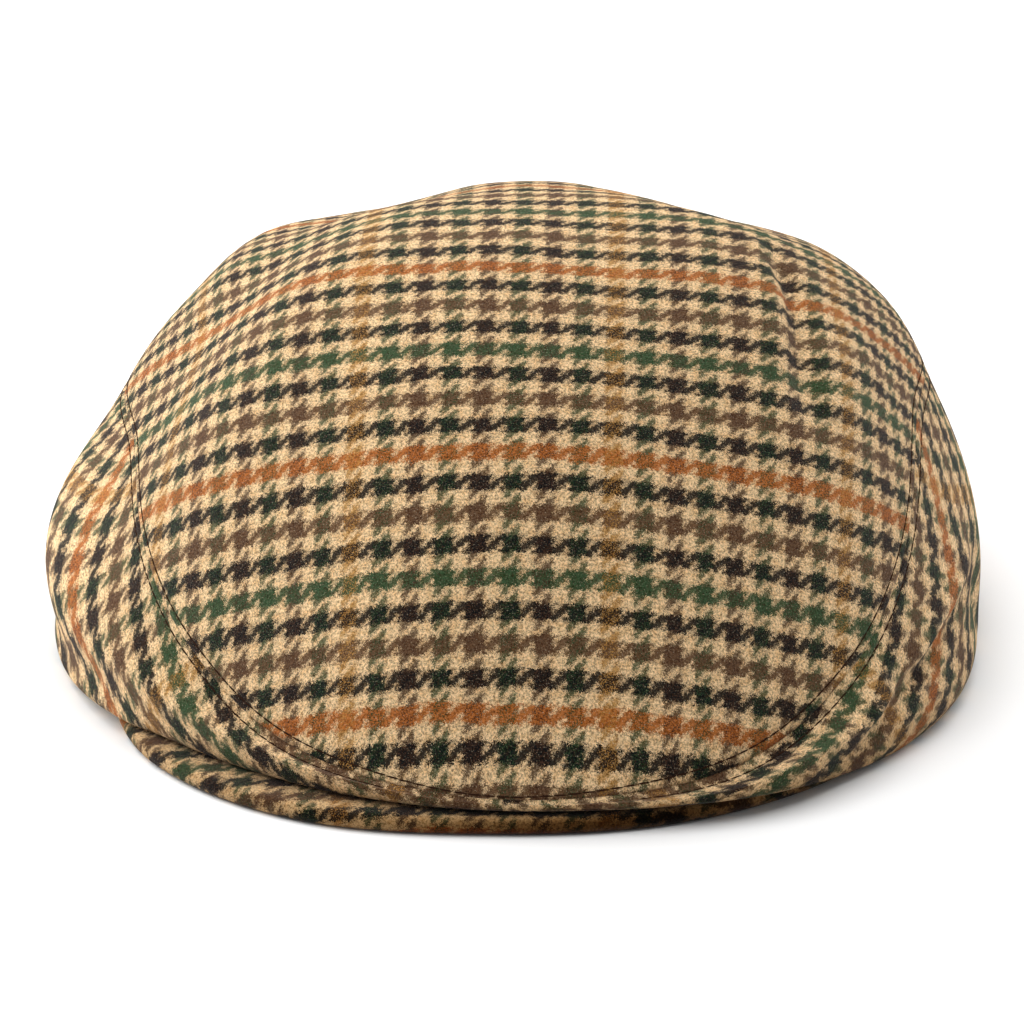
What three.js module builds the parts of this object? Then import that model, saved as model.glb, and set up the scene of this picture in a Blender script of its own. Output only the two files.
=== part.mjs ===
// Flat cap of checked wool tweed: a one-piece top, two side panels and a stiff cloth-covered peak.
// Millimetres, +Z up. The cap rests on z = 0 with its peak towards -Y.
// Left and right are as seen from the front, so +X is the right-hand side.
// A heading is an angle in plan: 0 at the front, 90 at the right, 180 at the back.

import * as THREE from 'three';

// Cloth
const clothThickness = 2.0;
const pieceGap = 0.3;

// Crown
const crownHeight = 104.8;
const crownCentreX = -0.33;
const crownCentreY = -10.05;
const poleOffsetX = 2;
const poleOffsetY = 10;
const heelTuck = 0.2;
const heelRound = 2.0;
const leastPuffDrop = 0.8;
const seamHold = 0.4;
const puffHold = 0.6;

// Side panel stations, as shares of the way from the seam down to the head opening
const puffShare = 0.4;
const heelShare = 0.75;

// Peak
const peakThickness = 4.0;
const peakTipWidth = 5;

// Facets
const spokeCount = 64;
const topRings = 17;
const sideBands = 14;
const peakSpans = 44;
const peakEdgeSteps = 6;

// Crown sections, one row every 45 degrees of heading:
// the seam between top and side, the slope of the cloth there and the length it holds,
// the length that stays level from the highest point, the widest point, and the head opening.
const sectionColumns = [
  'seamReach', 'seamHeight', 'riseAngle', 'riseLength', 'topLength', 'puffReach', 'puffHeight', 'rimReach',
];
const sectionRows = {
  front: [111, 8.8, 75, 58, 58, 111.7, 6.4, 92],
  frontRight: [104.9, 28.2, 71, 56, 58, 113.5, 12.5, 92],
  right: [94.3, 55.4, 64, 50.6, 44, 110.5, 15, 86],
  backRight: [123, 49.2, 68, 44, 22, 127.5, 27, 94],
  back: [124, 47.2, 62, 44, 28, 134, 27, 112],
  backLeft: [119.5, 46.2, 62, 46, 24, 123.5, 26, 94],
  left: [88.6, 47.3, 57, 51, 44, 110.3, 19.6, 86],
  frontLeft: [97.8, 31.2, 69, 56, 56, 107.5, 14.5, 92],
};

// Front corners, where the seam stays low before it turns up and the side may droop outwards:
// place and spread in degrees, drop of the seam and push of the widest point
const frontCorners = [
  { heading: 33.4, spread: 20.9, drop: 9.7, push: 0 },
  { heading: 29, spread: 14, drop: 0, push: 3.5 },
  { heading: -33.6, spread: 21.2, drop: 9.4, push: 0 },
];

// Peak outline: reach of its edge at each heading to the left and to the right of the front
const peakOutline = [
  { heading: 0, left: 113.8, right: 113.8 },
  { heading: 22, left: 115.8, right: 113.6 },
  { heading: 44, left: 110.5, right: 108.5 },
  { heading: 66, left: 99.5, right: 100 },
];

// Ends of the peak, in degrees from the front: where it starts to thin, where the crown above it
// has come down to the table, where it starts to narrow, and its tip. The crown droops over the right end.
const peakEnds = {
  left: { full: 45, crownDown: 78, narrow: 33, tip: 66 },
  right: { full: 24, crownDown: 56, narrow: 20, tip: 44 },
};

// Folds: a line on the cloth from one heading and share to another, pushed out (+) or in (-)
const foldColumns = ['fromHeading', 'fromShare', 'toHeading', 'toShare', 'push', 'width'];
const topFoldRows = {
  shoulderValley: [78, 0.56, 57.5, 0.655, -2.4, 9],
  shoulderRidge: [64, 0.72, 78, 0.8, 1.2, 12],
  leftShoulder: [234, 0.635, 254, 0.67, 2.4, 16],
  leftSag: [212, 0.425, 236, 0.385, -3.1, 20],
  rightSag: [147, 0.5, 110, 0.47, -3.0, 22],
};
const sideFoldRows = {
  leftCrease: [262, 0.56, 300, 0.5, -1.4, 7],
  leftLobe: [264, 0.66, 308, 0.68, 1.8, 8],
  rightCrease: [84, 0.4, 52, 0.32, -2.6, 8],
  rightCreaseEnd: [52, 0.3, 40, 0.5, -1.6, 8],
  rightLobe: [86, 0.58, 60, 0.55, 1.0, 9],
  backLeftTuck: [216, 0.3, 236, 0.62, -2.5, 9],
  backRightTuck: [146, 0.32, 126, 0.6, -2.5, 9],
};
// Folds are measured on the cloth laid out flat, and fade out before the highest point, the seams
// and the underside
const foldReach = 108;
const topFoldSpan = 150;
const sideFoldSpan = 75;
const topFoldFull = 0.15;
const topFoldEnd = 0.85;
const sideFoldStart = 0.02;
const sideFoldFull = 0.2;
const sideFoldEnd = 0.62;

const up = new THREE.Vector3(0, 0, 1);
const sections = Object.values(sectionRows).map((row) => namedRow(sectionColumns, row));
const topFolds = Object.values(topFoldRows).map((row) => namedRow(foldColumns, row));
const sideFolds = Object.values(sideFoldRows).map((row) => namedRow(foldColumns, row));

function namedRow(columns, row) {
  return Object.fromEntries(columns.map((column, index) => [column, row[index]]));
}

// Smooth curve through b and c, with a and d as the neighbours
function catmullRom(a, b, c, d, t) {
  const slopeB = (c - a) / 2;
  const slopeC = (d - b) / 2;
  const cubic = 2 * b - 2 * c + slopeB + slopeC;
  const square = 3 * c - 3 * b - 2 * slopeB - slopeC;
  return ((cubic * t + square) * t + slopeB) * t + b;
}

// A column of the crown sections at any heading
function around(column, heading) {
  const count = sections.length;
  const place = THREE.MathUtils.euclideanModulo(heading, 360) / (360 / count);
  const index = Math.floor(place);
  const at = (offset) => sections[(index + offset + count) % count][column];
  return catmullRom(at(-1), at(0), at(1), at(2), place - index);
}

// Heading difference in degrees, from -180 to 180
function turnFrom(heading, start) {
  return THREE.MathUtils.euclideanModulo(heading - start + 180, 360) - 180;
}

// Total of a column of the front corners as felt at a heading
function cornerShare(column, heading) {
  let total = 0;
  for (const corner of frontCorners) {
    const away = turnFrom(heading, corner.heading) / corner.spread;
    total += corner[column] * Math.exp(-away * away);
  }
  return total;
}

function seamHeightAt(heading) {
  return around('seamHeight', heading) - cornerShare('drop', heading);
}

function puffHeightAt(heading) {
  return Math.min(around('puffHeight', heading), seamHeightAt(heading) - leastPuffDrop);
}

function outward(heading) {
  const angle = THREE.MathUtils.degToRad(heading);
  return new THREE.Vector3(Math.sin(angle), -Math.cos(angle), 0);
}

function placed(heading, reach, height) {
  const centre = new THREE.Vector3(crownCentreX, crownCentreY, height);
  return centre.addScaledVector(outward(heading), reach);
}

// Height of the crown's underside: over the peak at the front, on the table elsewhere
function underside(heading) {
  const turn = turnFrom(heading, 0);
  const end = turn < 0 ? peakEnds.left : peakEnds.right;
  const down = THREE.MathUtils.smoothstep(Math.abs(turn), end.full, end.crownDown);
  return (peakThickness + pieceGap) * (1 - down);
}

// How far the folds push the cloth at a heading and share
function foldPush(folds, span, heading, share) {
  const arc = (degrees) => THREE.MathUtils.degToRad(degrees) * foldReach;
  const spot = new THREE.Vector3(arc(heading), share * span, 0);
  const nearest = new THREE.Vector3();
  let push = 0;
  for (const fold of folds) {
    const start = new THREE.Vector3(arc(fold.fromHeading), fold.fromShare * span, 0);
    const end = new THREE.Vector3(arc(fold.toHeading), fold.toShare * span, 0);
    new THREE.Line3(start, end).closestPointToPoint(spot, true, nearest);
    const away = spot.distanceTo(nearest) / fold.width;
    push += fold.push * Math.exp(-away * away);
  }
  return push;
}

// Top panel without folds, from the highest point (share 0) to the seam (share 1)
function smoothTop(heading, share) {
  const slope = THREE.MathUtils.degToRad(around('riseAngle', heading));
  const out = outward(heading);
  const pole = new THREE.Vector3(crownCentreX + poleOffsetX, crownCentreY + poleOffsetY, crownHeight);
  const level = pole.clone().addScaledVector(out, around('topLength', heading));
  const seam = placed(heading, around('seamReach', heading), seamHeightAt(heading));
  const riseLength = around('riseLength', heading);
  const rise = seam.clone()
    .addScaledVector(out, -riseLength * Math.cos(slope))
    .addScaledVector(up, riseLength * Math.sin(slope));
  return new THREE.CubicBezierCurve3(pole, level, rise, seam).getPoint(share);
}

// Square to the cloth in the upright section at a heading, so that both panels meet alike at the seam
function topNormal(heading, share) {
  if (share === 0) {
    return up.clone();
  }
  const step = 0.001;
  const down = smoothTop(heading, share + step).sub(smoothTop(heading, share - step));
  return down.cross(outward(heading + 90)).normalize();
}

// Folded top panel, at a depth below its outer face
function topPoint(heading, share, depth) {
  const { smoothstep } = THREE.MathUtils;
  const edgeFade = smoothstep(share, 0, topFoldFull) * (1 - smoothstep(share, topFoldEnd, 1));
  const push = foldPush(topFolds, topFoldSpan, heading, share) * edgeFade;
  return smoothTop(heading, share).addScaledVector(topNormal(heading, share), push - depth);
}

// Side panel, from the seam (share 0) over its widest point and heel to the head opening (share 1)
function sidePoint(heading, share, depth) {
  const slope = THREE.MathUtils.degToRad(around('riseAngle', heading));
  const seamReach = around('seamReach', heading) + pieceGap * Math.cos(slope) - depth * Math.sin(slope);
  const seamHeight = seamHeightAt(heading) - pieceGap * Math.sin(slope) - depth * Math.cos(slope);
  const puffReach = around('puffReach', heading) + cornerShare('push', heading) - depth;
  const puffHeight = puffHeightAt(heading);
  const floor = underside(heading) + depth;
  const heelReach = puffReach - heelTuck * (puffHeight - floor) - heelRound;
  const seam = new THREE.Vector2(seamReach, seamHeight);
  const puff = new THREE.Vector2(puffReach, puffHeight);
  const heel = new THREE.Vector2(heelReach, floor);
  const rim = new THREE.Vector2(around('rimReach', heading), floor);
  let spot;
  if (share < puffShare) {
    const hold = seamHold * seam.distanceTo(puff);
    const leave = new THREE.Vector2(seamReach + hold * Math.cos(slope), seamHeight - hold * Math.sin(slope));
    const arrive = new THREE.Vector2(puffReach, puffHeight + seamHold * (seamHeight - puffHeight));
    spot = new THREE.CubicBezierCurve(seam, leave, arrive, puff).getPoint(share / puffShare);
  } else if (share < heelShare) {
    const leave = new THREE.Vector2(puffReach, puffHeight - puffHold * (puffHeight - floor));
    const arrive = new THREE.Vector2(heelReach + puffHold * (puffReach - heelReach), floor);
    const part = (share - puffShare) / (heelShare - puffShare);
    spot = new THREE.CubicBezierCurve(puff, leave, arrive, heel).getPoint(part);
  } else {
    spot = heel.clone().lerp(rim, (share - heelShare) / (1 - heelShare));
  }
  const { smoothstep } = THREE.MathUtils;
  const fadeIn = smoothstep(share, sideFoldStart, sideFoldFull);
  const edgeFade = fadeIn * (1 - smoothstep(share, sideFoldEnd, heelShare));
  const push = foldPush(sideFolds, sideFoldSpan, heading, share) * edgeFade;
  return placed(heading, spot.x + push, spot.y);
}

// Outer edge of the peak at a heading
function peakReach(heading) {
  const step = peakOutline[1].heading;
  const place = Math.min(Math.abs(heading) / step, peakOutline.length - 1.001);
  const index = Math.floor(place);
  const side = heading < 0 ? 'left' : 'right';
  const at = (offset) => peakOutline[Math.min(Math.abs(index + offset), peakOutline.length - 1)][side];
  return catmullRom(at(-1), at(0), at(1), at(2), place - index);
}

// Closed body from matching outer and inner lines, one pair at each station round the cap
function wallGeometry(stations, closesRound) {
  const positions = [];
  const triangle = (a, b, c) => {
    if (a.distanceTo(b) > 1e-6 && b.distanceTo(c) > 1e-6 && c.distanceTo(a) > 1e-6) {
      positions.push(...a.toArray(), ...b.toArray(), ...c.toArray());
    }
  };
  const quad = (a, b, c, d) => {
    triangle(a, b, c);
    triangle(a, c, d);
  };
  const last = stations[0].outer.length - 1;
  const spans = closesRound ? stations.length : stations.length - 1;
  for (let i = 0; i < spans; i++) {
    const here = stations[i];
    const next = stations[(i + 1) % stations.length];
    for (let k = 0; k < last; k++) {
      quad(here.outer[k], here.outer[k + 1], next.outer[k + 1], next.outer[k]);
      quad(here.inner[k], next.inner[k], next.inner[k + 1], here.inner[k + 1]);
    }
    quad(here.outer[0], next.outer[0], next.inner[0], here.inner[0]);
    quad(here.outer[last], here.inner[last], next.inner[last], next.outer[last]);
  }
  if (!closesRound) {
    const first = stations[0];
    const end = stations[stations.length - 1];
    for (let k = 0; k < last; k++) {
      quad(first.outer[k], first.inner[k], first.inner[k + 1], first.outer[k + 1]);
      quad(end.outer[k], end.outer[k + 1], end.inner[k + 1], end.inner[k]);
    }
  }
  const geometry = new THREE.BufferGeometry();
  geometry.setAttribute('position', new THREE.Float32BufferAttribute(positions, 3));
  geometry.computeVertexNormals();
  return geometry;
}

function shares(count) {
  return Array.from({ length: count + 1 }, (_, index) => index / count);
}

function topGeometry() {
  const rings = shares(topRings);
  const stations = shares(spokeCount).slice(0, spokeCount).map((turn) => ({
    outer: rings.map((share) => topPoint(turn * 360, share, 0)),
    inner: rings.map((share) => topPoint(turn * 360, share, clothThickness)),
  }));
  return wallGeometry(stations, true);
}

// One side panel covers half the headings and stops short of its twin at both centre seams
function sideGeometry(startHeading, awayFromTwin) {
  const bands = shares(sideBands);
  const shift = new THREE.Vector3(awayFromTwin * pieceGap / 2, 0, 0);
  const stations = shares(spokeCount / 2).map((turn) => ({
    outer: bands.map((share) => sidePoint(startHeading + turn * 180, share, 0).add(shift)),
    inner: bands.map((share) => sidePoint(startHeading + turn * 180, share, clothThickness).add(shift)),
  }));
  return wallGeometry(stations, false);
}

// The peak lies flat, with a rounded outer edge, and thins out to its tips under the crown
function peakGeometry() {
  const stations = shares(peakSpans).map((turn) => {
    const heading = THREE.MathUtils.lerp(-peakEnds.left.tip, peakEnds.right.tip, turn);
    const end = heading < 0 ? peakEnds.left : peakEnds.right;
    const thickness = underside(heading) - pieceGap;
    const edge = peakReach(heading);
    const narrow = THREE.MathUtils.smoothstep(Math.abs(heading), end.narrow, end.tip);
    const root = THREE.MathUtils.lerp(around('rimReach', heading), edge - peakTipWidth, narrow);
    const nose = thickness / 2;
    const line = (side) => {
      const points = [placed(heading, root, nose + side * nose)];
      for (let step = 0; step <= peakEdgeSteps; step++) {
        const angle = (Math.PI / 2) * (step / peakEdgeSteps);
        const reach = edge - nose + nose * Math.sin(angle);
        points.push(placed(heading, reach, nose + side * nose * Math.cos(angle)));
      }
      return points;
    };
    return { outer: line(1), inner: line(-1) };
  });
  return wallGeometry(stations, false);
}

function tweed(colour) {
  return new THREE.MeshStandardMaterial({ color: colour, roughness: 0.95, metalness: 0 });
}

const cap = new THREE.Group();
const pieces = {
  crown_top: new THREE.Mesh(topGeometry(), tweed(0x8c7650)),
  side_right: new THREE.Mesh(sideGeometry(0, 1), tweed(0x86704b)),
  side_left: new THREE.Mesh(sideGeometry(180, -1), tweed(0x86704b)),
  peak: new THREE.Mesh(peakGeometry(), tweed(0x7a6543)),
};
for (const [name, mesh] of Object.entries(pieces)) {
  mesh.name = name;
  cap.add(mesh);
}

export default cap;
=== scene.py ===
import math

import bmesh
import bpy
import numpy as np
from mathutils import Matrix, Vector


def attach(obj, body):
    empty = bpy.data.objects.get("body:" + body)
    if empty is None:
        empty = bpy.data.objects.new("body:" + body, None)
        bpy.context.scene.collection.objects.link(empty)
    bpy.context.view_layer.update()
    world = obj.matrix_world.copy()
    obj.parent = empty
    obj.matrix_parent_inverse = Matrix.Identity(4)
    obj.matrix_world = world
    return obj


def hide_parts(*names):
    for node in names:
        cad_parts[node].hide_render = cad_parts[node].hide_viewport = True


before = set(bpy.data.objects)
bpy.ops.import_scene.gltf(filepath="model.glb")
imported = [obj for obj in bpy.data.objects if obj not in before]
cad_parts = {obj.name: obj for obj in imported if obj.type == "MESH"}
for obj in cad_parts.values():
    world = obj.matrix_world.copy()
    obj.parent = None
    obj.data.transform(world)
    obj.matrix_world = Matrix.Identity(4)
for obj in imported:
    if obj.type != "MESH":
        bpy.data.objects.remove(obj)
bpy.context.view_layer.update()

# Flat cap of checked tweed. The crown is worked out in millimetres from the same sections as the
# solids, then scaled to metres. A heading is an angle in plan: 0 front, 90 right, 180 back.
mm = 0.001

crown = {
    "height": 104.8,
    "centre": (-0.33, -10.05),
    "poleOffset": (2.0, 10.0),
    "pieceGap": 0.3,
    "insideHeight": 20.0,
    "leastPuffDrop": 0.8,
    "heelTuck": 0.2,
    "heelRound": 2.0,
    "seamHold": 0.4,
    "puffHold": 0.6,
    "puffShare": 0.4,  # shares of the way from the seam down to the head opening
    "heelShare": 0.75,
    "columns": ("seamReach", "seamHeight", "riseAngle", "riseLength",
                "topLength", "puffReach", "puffHeight", "rimReach"),
    "front": (111, 8.8, 75, 58, 58, 111.7, 6.4, 92),
    "frontRight": (104.9, 28.2, 71, 56, 58, 113.5, 12.5, 92),
    "right": (94.3, 55.4, 64, 50.6, 44, 110.5, 15, 86),
    "backRight": (123, 49.2, 68, 44, 22, 127.5, 27, 94),
    "back": (124, 47.2, 62, 44, 28, 134, 27, 112),
    "backLeft": (119.5, 46.2, 62, 46, 24, 123.5, 26, 94),
    "left": (88.6, 47.3, 57, 51, 44, 110.3, 19.6, 86),
    "frontLeft": (97.8, 31.2, 69, 56, 56, 107.5, 14.5, 92),
    # heading, spread, drop of the seam and push of the widest point at the front corners
    "corners": ((33.4, 20.9, 9.7, 0.0), (29, 14, 0.0, 3.5), (-33.6, 21.2, 9.4, 0.0)),
}
sectionOrder = ("front", "frontRight", "right", "backRight", "back", "backLeft", "left", "frontLeft")
sectionTable = np.array([crown[name] for name in sectionOrder], dtype=float)
sectionStep = 360.0 / len(sectionOrder)

# Each fold runs from one heading and share to another: push outwards and width in millimetres
topFolds = {
    "shoulderValley": (78, 0.56, 57.5, 0.655, -2.4, 9),
    "shoulderRidge": (64, 0.72, 78, 0.8, 1.2, 12),
    "leftShoulder": (234, 0.635, 254, 0.67, 2.4, 16),
    "leftSag": (212, 0.425, 236, 0.385, -3.1, 20),
    "rightSag": (147, 0.5, 110, 0.47, -3.0, 22),
}
sideFolds = {
    "leftCrease": (262, 0.56, 300, 0.5, -1.4, 7),
    "leftLobe": (264, 0.66, 308, 0.68, 1.8, 8),
    "rightCrease": (84, 0.4, 52, 0.32, -2.6, 8),
    "rightCreaseEnd": (52, 0.3, 40, 0.5, -1.6, 8),
    "rightLobe": (86, 0.58, 60, 0.55, 1.0, 9),
    "backLeftTuck": (216, 0.3, 236, 0.62, -2.5, 9),
    "backRightTuck": (146, 0.32, 126, 0.6, -2.5, 9),
}
# Sharper creases in two of those folds: headings and shares along each, from back to front
topCreases = {
    "shoulder": {"course": ((90, 0.52), (80, 0.568), (73, 0.596), (65.5, 0.612), (59.5, 0.627), (54, 0.67)),
                 "depth": 0.8, "width": 6.0, "lobe": 0.9, "lobePlace": 9.0, "lobeWidth": 8.0},
}
sideCreases = {
    "rightOverhang": {"course": ((84, 0.32), (62, 0.305), (54, 0.351), (47.5, 0.397), (40, 0.52)),
                      "depth": 1.6, "width": 3.2, "lobe": 1.4, "lobePlace": 4.6, "lobeWidth": 4.2},
}
creaseEnds = 0.2  # share of its length over which a crease fades at both ends
foldReach = 108.0  # millimetres for each radian of heading, and for the whole share of a panel
topFoldSpan = 150.0
sideFoldSpan = 75.0

cloth = {"thickness": 1.4, "thread": 0.8875}

seam = {
    "depth": 0.3,  # how far the two edges turn in
    "width": 0.5,
    "stitchPlace": 2.1,  # topstitching on both sides of the seam, wider on the right
    "stitchWiden": 0.4,
    "stitchFrontLess": 1.5,
    "stitchFrontSpread": 14.0,
    "stitchDepth": 0.2,
    "stitchWidth": 0.5,
    "stitchPitch": 3.0,
    "stitchLength": 3.0,
    "stitchRadius": 0.19,
    "stitchLift": 0.06,
    "stitchFaces": (6, 5),  # round it and along it
    "bareFront": 14.0,  # no stitches show on the side panels this near the front
    "searchStart": 0.05,  # finding the stitch line on a side panel, as a share
    "searchRepeats": 12,
    "searchRange": (0.001, 0.74),
}


def smoothstep(value, low, high):
    part = np.clip((value - low) / (high - low), 0.0, 1.0)
    return part * part * (3.0 - 2.0 * part)


def catmullRom(a, b, c, d, part):
    slopeB = (c - a) / 2
    slopeC = (d - b) / 2
    cubic = 2 * b - 2 * c + slopeB + slopeC
    square = 3 * c - 3 * b - 2 * slopeB - slopeC
    return ((cubic * part + square) * part + slopeB) * part + b


def bezier(a, b, c, d, part):
    rest = 1.0 - part
    return rest ** 3 * a + 3 * rest ** 2 * part * b + 3 * rest * part ** 2 * c + part ** 3 * d


def around(column, heading):
    values = sectionTable[:, crown["columns"].index(column)]
    place = np.mod(heading, 360.0) / sectionStep
    index = np.floor(place).astype(int)
    corners = [values[(index + step) % len(sectionOrder)] for step in (-1, 0, 1, 2)]
    return catmullRom(*corners, place - index)


def turnFrom(heading, start):
    return np.mod(heading - start + 180.0, 360.0) - 180.0


# The seam runs low along the front and turns up sharply at the corners
def cornerShare(heading, column):
    total = np.zeros_like(heading)
    for corner in crown["corners"]:
        total += corner[column] * np.exp(-(turnFrom(heading, corner[0]) / corner[1]) ** 2)
    return total


def seamHeightAt(heading):
    return around("seamHeight", heading) - cornerShare(heading, 2)


def outward(heading):
    angle = np.radians(heading)
    return np.stack([np.sin(angle), -np.cos(angle), np.zeros_like(angle)], axis=-1)


def placed(heading, reach, height):
    points = outward(heading) * np.asarray(reach)[..., None]
    points[..., 0] += crown["centre"][0]
    points[..., 1] += crown["centre"][1]
    points[..., 2] = height
    return points


def underside(heading):
    turn = turnFrom(heading, 0.0)
    down = np.where(turn < 0, smoothstep(-turn, peak["left"]["full"], peak["left"]["crownDown"]),
                    smoothstep(turn, peak["right"]["full"], peak["right"]["crownDown"]))
    return (peak["thickness"] + crown["pieceGap"]) * (1.0 - down)


def foldPush(folds, span, heading, share):
    spot = np.stack([np.radians(heading) * foldReach, share * span], axis=-1)
    total = np.zeros_like(share)
    for fromHeading, fromShare, toHeading, toShare, push, width in folds.values():
        start = np.array([math.radians(fromHeading) * foldReach, fromShare * span])
        run = np.array([math.radians(toHeading) * foldReach, toShare * span]) - start
        along = np.clip(((spot - start) @ run) / (run @ run), 0.0, 1.0)
        away = np.linalg.norm(spot - start - along[..., None] * run, axis=-1) / width
        total += push * np.exp(-away * away)
    return total


# A sharp crease, with the cloth above it pushed out
def creasePush(crease, span, heading, share):
    scale = np.array([math.radians(foldReach), span])
    spot = np.stack([heading, share], axis=-1) * scale
    course = np.array(crease["course"]) * scale
    lengths = np.linalg.norm(np.diff(course, axis=0), axis=1)
    nearest, progress = np.full(share.shape, 1e6), np.zeros(share.shape)
    for index, length in enumerate(lengths):
        run, offset = course[index + 1] - course[index], spot - course[index]
        along = np.clip((offset @ run) / length ** 2, 0.0, 1.0)
        away = np.linalg.norm(offset - along[..., None] * run, axis=-1)
        above = np.where(run[0] * offset[..., 1] > run[1] * offset[..., 0], away, -away)
        closer = away < np.abs(nearest)
        nearest = np.where(closer, above, nearest)
        progress = np.where(closer, (lengths[:index].sum() + along * length) / lengths.sum(), progress)
    lobe = np.exp(-((nearest - crease["lobePlace"]) / crease["lobeWidth"]) ** 2)
    push = crease["lobe"] * lobe - crease["depth"] * np.exp(-(nearest / crease["width"]) ** 2)
    return push * smoothstep(np.minimum(progress, 1.0 - progress), 0.0, creaseEnds)


def unitNormals(surface, heading, share):
    shareStep, headingStep = 0.001, 0.05
    share = np.clip(share, 2 * shareStep, 1.0)
    down = surface(heading, share + shareStep) - surface(heading, share - shareStep)
    turn = surface(heading + headingStep, share) - surface(heading - headingStep, share)
    normal = np.cross(down, turn)
    return normal / np.linalg.norm(normal, axis=-1, keepdims=True)


# The long slow unevenness of worn cloth: waves with their turn for each millimetre, and their start
rippleWaves = ((0.061, 0.023, 0.031, 0.4), (-0.037, 0.068, 0.02, 1.9), (0.09, -0.055, 0.043, 3.1),
               (0.024, 0.11, -0.07, 5.2), (-0.12, 0.04, 0.08, 0.9))


def ripple(points):
    total = np.zeros(len(points))
    for x, y, z, start in rippleWaves:
        total += np.sin(points @ np.array([x, y, z]) + start)
    return total / len(rippleWaves)


# Edge of a panel at the seam: turned in at the seam line, pressed down under the stitches
def seamDip(heading, fromSeam):
    turned = seam["depth"] * np.exp(-(fromSeam / seam["width"]) ** 2)
    pressed = np.exp(-((fromSeam - stitchPlace(heading)) / seam["stitchWidth"]) ** 2)
    return turned + seam["stitchDepth"] * pressed


def stitchPlace(heading):
    turn = turnFrom(heading, 0.0)
    front = np.exp(-(turn / seam["stitchFrontSpread"]) ** 2)
    return (seam["stitchPlace"] + seam["stitchWiden"] * np.sin(np.radians(turn))
            - seam["stitchFrontLess"] * front)


def smoothTop(heading, share):
    slope = np.radians(around("riseAngle", heading))
    out = outward(heading)
    pole = np.array([*np.add(crown["centre"], crown["poleOffset"]), crown["height"]])
    level = pole + out * around("topLength", heading)[..., None]
    edge = placed(heading, around("seamReach", heading), seamHeightAt(heading))
    hold = around("riseLength", heading)
    rise = edge - out * (hold * np.cos(slope))[..., None]
    rise[..., 2] += hold * np.sin(slope)
    return bezier(pole, level, rise, edge, share[..., None])


# Millimetres of cloth for a whole share at the edge of the top, where the curve leaves its end
def edgeSpan(heading):
    return 3.0 * around("riseLength", heading)


def topFromSeam(heading, share):
    return edgeSpan(heading) * (1.0 - share)


def topSurface(heading, share):
    normal = unitNormals(smoothTop, heading, share)
    points = smoothTop(heading, share)
    fromSeam = topFromSeam(heading, share)
    fade = smoothstep(share, 0.0, topPanel["poleFade"]) * (1.0 - smoothstep(share, topPanel["edgeFade"], 1.0))
    push = foldPush(topFolds, topFoldSpan, np.mod(heading, 360.0), share) * fade
    for crease in topCreases.values():
        push += creasePush(crease, topFoldSpan, np.mod(heading, 360.0), share) * fade
    push += ripple(points) * topPanel["ripple"] * smoothstep(fromSeam, *topPanel["rippleFade"])
    push -= seamDip(heading, fromSeam)
    return points + normal * push[..., None]


def smoothSide(heading, share):
    slope = np.radians(around("riseAngle", heading))
    seamReach = around("seamReach", heading)
    seamHeight = seamHeightAt(heading)
    puffReach = around("puffReach", heading) + cornerShare(heading, 3)
    puffHeight = np.minimum(around("puffHeight", heading), seamHeight - crown["leastPuffDrop"])
    floor = underside(heading)
    heelReach = puffReach - crown["heelTuck"] * (puffHeight - floor) - crown["heelRound"]
    rimReach = around("rimReach", heading)
    hold = crown["seamHold"] * np.hypot(puffReach - seamReach, seamHeight - puffHeight)
    upper = share / crown["puffShare"]
    upperReach = bezier(seamReach, seamReach + hold * np.cos(slope), puffReach, puffReach, upper)
    upperHeight = bezier(seamHeight, seamHeight - hold * np.sin(slope),
                         puffHeight + crown["seamHold"] * (seamHeight - puffHeight), puffHeight, upper)
    lower = (share - crown["puffShare"]) / (crown["heelShare"] - crown["puffShare"])
    lowerReach = bezier(puffReach, puffReach,
                        heelReach + crown["puffHold"] * (puffReach - heelReach), heelReach, lower)
    lowerHeight = bezier(puffHeight, puffHeight - crown["puffHold"] * (puffHeight - floor),
                         floor, floor, lower)
    under = (share - crown["heelShare"]) / (1.0 - crown["heelShare"])
    isUpper = share < crown["puffShare"]
    isLower = share < crown["heelShare"]
    reach = np.where(isUpper, upperReach,
                     np.where(isLower, lowerReach, heelReach + (rimReach - heelReach) * under))
    height = np.where(isUpper, upperHeight, np.where(isLower, lowerHeight, floor))
    fade = smoothstep(share, *sidePanel["foldFade"])
    fade = fade * (1.0 - smoothstep(share, sidePanel["foldEnd"], crown["heelShare"]))
    # a hair less, so that the end of the left panel isn't taken for the start of the right one
    push = foldPush(sideFolds, sideFoldSpan, np.mod(heading - 0.001, 360.0), share) * fade
    return placed(heading, reach + push, height)


# Length of cloth from the seam down to a share of the side panel
def sideFromSeam(heading, share):
    total = np.zeros_like(share)
    before = smoothSide(heading, np.zeros_like(share))
    for step in range(1, sidePanel["lengthSteps"] + 1):
        here = smoothSide(heading, share * step / sidePanel["lengthSteps"])
        total += np.linalg.norm(here - before, axis=-1)
        before = here
    return total


def sideSurface(heading, share):
    normal = unitNormals(smoothSide, heading, share)
    points = smoothSide(heading, share)
    fromSeam = sideFromSeam(heading, share)
    free = 1.0 - smoothstep(share, sidePanel["rippleEnd"], crown["heelShare"])
    push = ripple(points) * sidePanel["ripple"] * smoothstep(fromSeam, *sidePanel["rippleFade"]) * free
    fade = smoothstep(fromSeam, *sidePanel["creaseFade"])
    for crease in sideCreases.values():
        push += creasePush(crease, sideFoldSpan, np.mod(heading, 360.0), share) * fade
    push -= seamDip(heading, fromSeam)
    return points + normal * push[..., None]


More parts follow.
